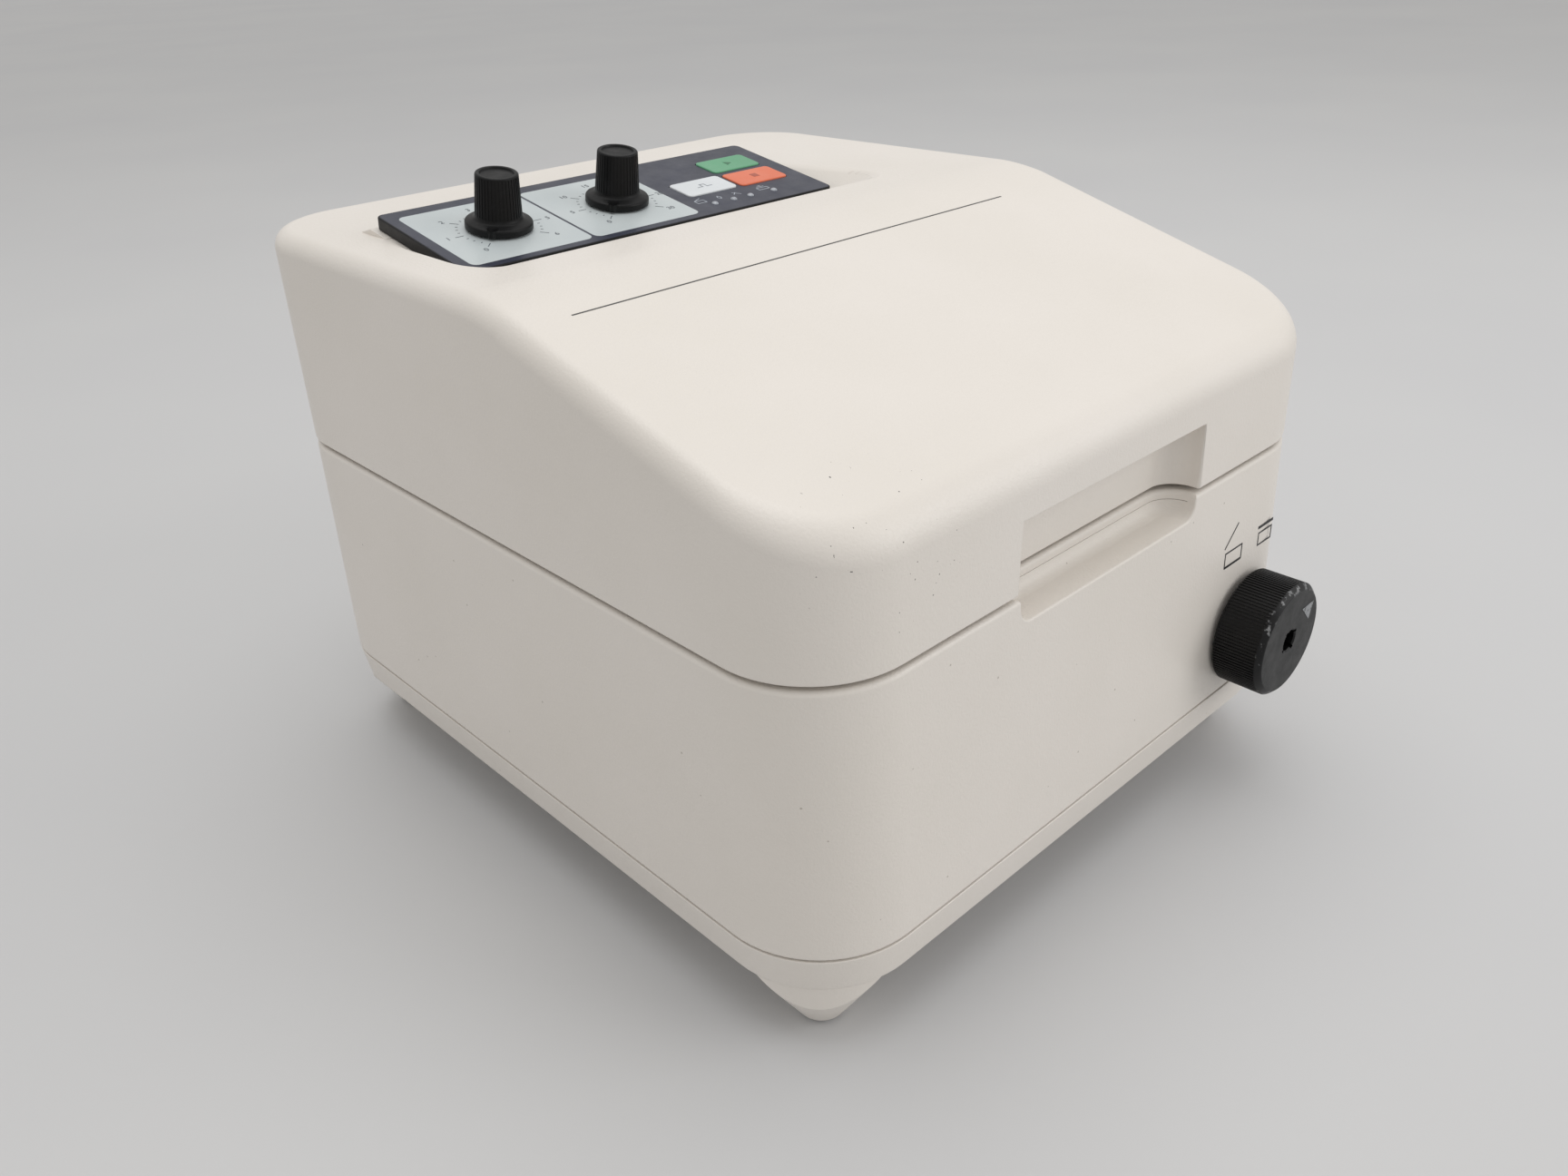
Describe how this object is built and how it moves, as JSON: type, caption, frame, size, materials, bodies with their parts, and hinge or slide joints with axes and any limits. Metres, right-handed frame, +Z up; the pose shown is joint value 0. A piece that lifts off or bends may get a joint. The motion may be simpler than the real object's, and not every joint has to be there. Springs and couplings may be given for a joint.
{
  "type": "benchtop microcentrifuge",
  "caption": "Small benchtop centrifuge: hinged lid with a tilted control panel, front lock knob, and a steel chamber with an angle rotor for micro tubes.",
  "frame": {"origin": "middle of the whole object's box in plan, on the plane the feet stand on", "axes": "+Z up, the lock knob and finger recess face -Y, +X to the user's right"},
  "size_m": [0.256, 0.3168, 0.2196],
  "materials": {
    "housing": "fine structured off-white paint",
    "black_plastic": "satin moulded",
    "panel": "satin overlay film",
    "white_key": "satin printed film",
    "green_key": "satin printed film",
    "orange_key": "satin printed film",
    "lamp": "clear moulded",
    "rubber": "matt",
    "bowl_steel": "spun",
    "steel": "zinc plated",
    "motor_paint": "black paint",
    "rotor_aluminium": "turned and anodised",
    "board": "solder mask",
    "winding": "taped winding",
    "brass": "turned"
  },
  "bodies": {
    "base": {"base_housing": "housing", "base_pan": "housing", "foot_pad_1": "rubber", "foot_pad_2": "rubber", "foot_pad_3": "rubber", "foot_pad_4": "rubber", "chamber_bowl": "bowl_steel", "bowl_grommet": "rubber", "motor": "motor_paint", "motor_plate": "steel", "motor_damper_1": "rubber", "motor_damper_2": "rubber", "motor_damper_3": "rubber", "drive_board": "board", "board_capacitor": "black_plastic", "board_heatsink": "rotor_aluminium", "transformer_core": "steel", "transformer_winding": "winding", "mains_inlet": "black_plastic", "mains_pins": "brass", "fuse_holder": "black_plastic", "switch_frame": "black_plastic", "rear_grille": "black_plastic", "hinge_base_left": "steel", "hinge_base_right": "steel", "hinge_pin_left": "steel", "hinge_pin_right": "steel", "latch_bracket": "steel", "lock_bushing": "brass", "lid_sensor": "black_plastic"},
    "lid": {"lid_shell": "housing", "lid_liner": "housing", "lid_seal": "rubber", "liner_screw_1": "steel", "liner_screw_2": "steel", "liner_screw_3": "steel", "liner_screw_4": "steel", "lid_striker": "steel", "lid_magnet": "steel", "hinge_lid_left": "steel", "hinge_lid_right": "steel", "panel_frame": "panel", "panel_board": "board", "speed_potentiometer": "steel", "time_potentiometer": "steel", "indicator_lamps": "lamp"},
    "lock_knob": {"lock_knob": "black_plastic", "lock_shaft": "steel"},
    "latch_slide": {"latch_slide": "steel"},
    "speed_knob": {"speed_knob": "black_plastic", "speed_shaft": "steel"},
    "time_knob": {"time_knob": "black_plastic", "time_shaft": "steel"},
    "start_key": {"start_key": "green_key"},
    "stop_key": {"stop_key": "orange_key"},
    "pulse_key": {"pulse_key": "white_key"},
    "power_rocker": {"power_rocker": "black_plastic"},
    "rotor": {"rotor": "rotor_aluminium", "rotor_nut": "steel", "motor_shaft": "steel"}
  },
  "joints": [
    {"name": "lid_hinge", "type": "hinge", "parent": "base", "child": "lid", "pos_m": [0, 0.1534, 0.1235], "axis": [-1, 0, 0], "range_deg": [0, 95]},
    {"name": "lock_turn", "type": "hinge", "parent": "base", "child": "lock_knob", "pos_m": [0.084, -0.1406, 0.0605], "axis": [0, -1, 0], "range_deg": [0, 106]},
    {"name": "latch_travel", "type": "slide", "parent": "base", "child": "latch_slide", "axis": [-1, 0, 0], "range_m": [0, 0.0145]},
    {"name": "speed_turn", "type": "hinge", "parent": "lid", "child": "speed_knob", "pos_m": [-0.073, 0.05857, 0.20019], "axis": [0, 0.1805, -0.9836], "range_deg": [0, 270]},
    {"name": "time_turn", "type": "hinge", "parent": "lid", "child": "time_knob", "pos_m": [-0.0247, 0.05857, 0.20019], "axis": [0, 0.1805, -0.9836], "range_deg": [0, 270]},
    {"name": "start_key_press", "type": "slide", "parent": "lid", "child": "start_key", "axis": [0, 0.1805, -0.9836], "range_m": [0, 0.0005], "stiffness_N_per_m": 300},
    {"name": "stop_key_press", "type": "slide", "parent": "lid", "child": "stop_key", "axis": [0, 0.1805, -0.9836], "range_m": [0, 0.0005], "stiffness_N_per_m": 300},
    {"name": "pulse_key_press", "type": "slide", "parent": "lid", "child": "pulse_key", "axis": [0, 0.1805, -0.9836], "range_m": [0, 0.0005], "stiffness_N_per_m": 300},
    {"name": "power_rock", "type": "hinge", "parent": "base", "child": "power_rocker", "pos_m": [0.034, 0.1433, 0.075], "axis": [1, 0, 0], "range_deg": [0, 16]},
    {"name": "rotor_spin", "type": "hinge", "parent": "base", "child": "rotor", "pos_m": [0, 0.0048, 0.0645], "axis": [0, 0, 1], "continuous": true}
  ],
  "couplings": [
    {"joint": "latch_travel", "follows": "lock_turn", "m_per_rad": 0.0077703}
  ]
}
